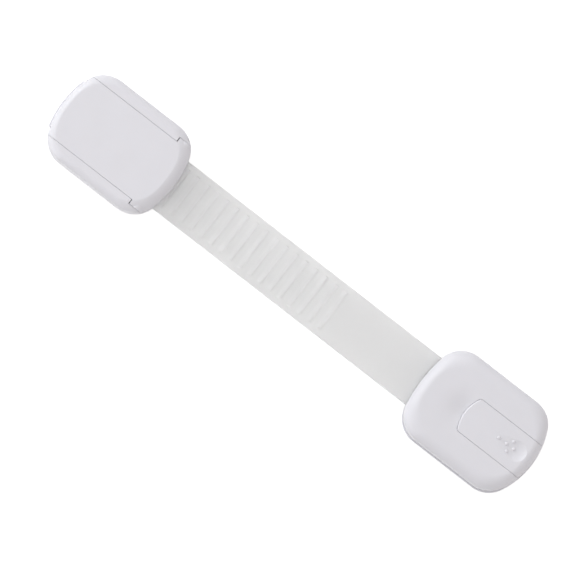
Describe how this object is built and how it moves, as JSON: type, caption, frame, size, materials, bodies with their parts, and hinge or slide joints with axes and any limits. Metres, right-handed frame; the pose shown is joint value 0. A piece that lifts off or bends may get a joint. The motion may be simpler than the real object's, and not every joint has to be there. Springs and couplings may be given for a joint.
{
  "type": "cabinet safety lock",
  "caption": "Stick-on strap lock for cabinet doors: an adjusting head with a flip lid, a ribbed strap and a latch head with a press-to-release rocker button.",
  "frame": {"origin": "under the middle of the lock, on the surface that both heads stick to", "axes": "+X along the strap from the adjusting head to the latch head, +Y across it, +Z away from the surface"},
  "size_m": [0.2, 0.0362, 0.015],
  "materials": {
    "shell": "white moulded plastic with a fine matt texture",
    "strap": "pale translucent flexible plastic, satin",
    "foam": "white closed-cell foam tape",
    "steel": "plain drawn steel"
  },
  "bodies": {
    "lock_body": {"anchor_foam_pad": "foam", "anchor_base": "shell", "lid_hinge_pin": "steel", "strap": "strap", "latch_foam_pad": "foam", "latch_base": "shell", "latch_bottom_plate": "shell", "latch_cover": "shell", "button_pivot_pin": "steel", "button_spring": "steel", "cover_screws": "steel"},
    "lid": {"anchor_lid": "shell"},
    "button": {"release_button": "shell"}
  },
  "joints": [
    {"name": "lid_hinge", "type": "hinge", "parent": "lock_body", "child": "lid", "pos_m": [-0.0587, 0, 0.012], "axis": [0, 1, 0], "range_deg": [0, 100]},
    {"name": "button_press", "type": "hinge", "parent": "lock_body", "child": "button", "pos_m": [0.0821, 0, 0.011], "axis": [0, 1, 0], "range_deg": [0, 7], "stiffness_Nm_per_rad": 0.3, "springref_deg": -6.88, "deforming": ["button_spring"]}
  ]
}
